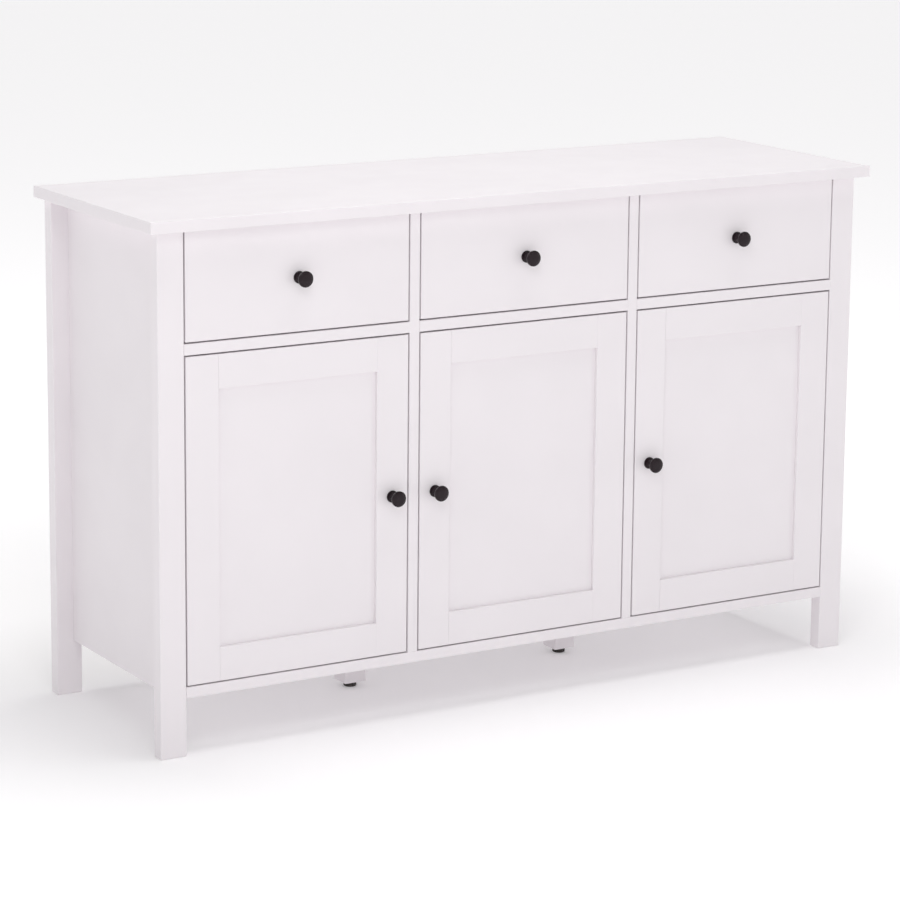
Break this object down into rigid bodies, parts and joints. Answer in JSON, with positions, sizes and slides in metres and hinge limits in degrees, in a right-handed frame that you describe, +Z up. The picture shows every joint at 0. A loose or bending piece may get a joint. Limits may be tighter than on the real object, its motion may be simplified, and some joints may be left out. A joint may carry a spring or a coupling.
{
  "type": "sideboard buffet",
  "caption": "White free-standing sideboard on corner posts, with inset drawers over framed cupboard doors, adjustable shelves and black round knobs.",
  "frame": {"origin": "on the floor, in the middle of the whole object's box, knobs included", "axes": "+X along the length, to the right as seen from the front; the doors face -Y; +Z up"},
  "size_m": [1.37, 0.447, 0.86],
  "materials": {
    "painted_board": "white satin lacquer on MDF",
    "drawer_board": "white melamine foil",
    "back_board": "white printed hardboard",
    "black_metal": "satin black lacquer on zinc alloy",
    "nickel": "nickel-plated pressed steel",
    "zinc": "zinc-plated",
    "guide_wood": "waxed beech",
    "dowel_wood": "fluted beech",
    "foot_plastic": "moulded dark plastic"
  },
  "bodies": {
    "carcass": {"top_board": "painted_board", "post_front_left": "painted_board", "post_front_right": "painted_board", "post_back_left": "painted_board", "post_back_right": "painted_board", "side_panel_left": "painted_board", "side_panel_right": "painted_board", "partition_left": "painted_board", "partition_right": "painted_board", "mid_board_left": "painted_board", "mid_board_centre": "painted_board", "mid_board_right": "painted_board", "bottom_board": "painted_board", "back_panels": "back_board", "shelf_left": "painted_board", "shelf_centre": "painted_board", "shelf_right": "painted_board", "shelf_pins": "nickel", "centre_leg_left": "painted_board", "centre_leg_right": "painted_board", "centre_feet": "foot_plastic", "hinge_plates": "nickel", "hinge_arms": "nickel", "drawer_guides": "guide_wood", "cam_locks": "zinc", "cam_bolts": "zinc", "dowels": "dowel_wood", "back_screws": "zinc"},
    "door_left": {"door_stiles_left": "painted_board", "door_rails_left": "painted_board", "door_panel_left": "painted_board", "door_knob_left": "black_metal", "hinge_cups_left": "nickel"},
    "door_centre": {"door_stiles_centre": "painted_board", "door_rails_centre": "painted_board", "door_panel_centre": "painted_board", "door_knob_centre": "black_metal", "hinge_cups_centre": "nickel"},
    "door_right": {"door_stiles_right": "painted_board", "door_rails_right": "painted_board", "door_panel_right": "painted_board", "door_knob_right": "black_metal", "hinge_cups_right": "nickel"},
    "drawer_left": {"drawer_front_left": "painted_board", "drawer_sides_left": "drawer_board", "drawer_back_left": "drawer_board", "drawer_bottom_left": "back_board", "drawer_knob_left": "black_metal"},
    "drawer_centre": {"drawer_front_centre": "painted_board", "drawer_sides_centre": "drawer_board", "drawer_back_centre": "drawer_board", "drawer_bottom_centre": "back_board", "drawer_knob_centre": "black_metal"},
    "drawer_right": {"drawer_front_right": "painted_board", "drawer_sides_right": "drawer_board", "drawer_back_right": "drawer_board", "drawer_bottom_right": "back_board", "drawer_knob_right": "black_metal"}
  },
  "joints": [
    {"name": "door_left_hinge", "type": "hinge", "parent": "carcass", "child": "door_left", "pos_m": [-0.6185, -0.1975, 0.379], "axis": [0, 0, -1], "range_deg": [0, 105]},
    {"name": "door_centre_hinge", "type": "hinge", "parent": "carcass", "child": "door_centre", "pos_m": [0.1985, -0.1975, 0.379], "axis": [0, 0, 1], "range_deg": [0, 105]},
    {"name": "door_right_hinge", "type": "hinge", "parent": "carcass", "child": "door_right", "pos_m": [0.6185, -0.1975, 0.379], "axis": [0, 0, 1], "range_deg": [0, 105]},
    {"name": "drawer_left_slide", "type": "slide", "parent": "carcass", "child": "drawer_left", "axis": [0, -1, 0], "range_m": [0, 0.26]},
    {"name": "drawer_centre_slide", "type": "slide", "parent": "carcass", "child": "drawer_centre", "axis": [0, -1, 0], "range_m": [0, 0.26]},
    {"name": "drawer_right_slide", "type": "slide", "parent": "carcass", "child": "drawer_right", "axis": [0, -1, 0], "range_m": [0, 0.26]}
  ]
}
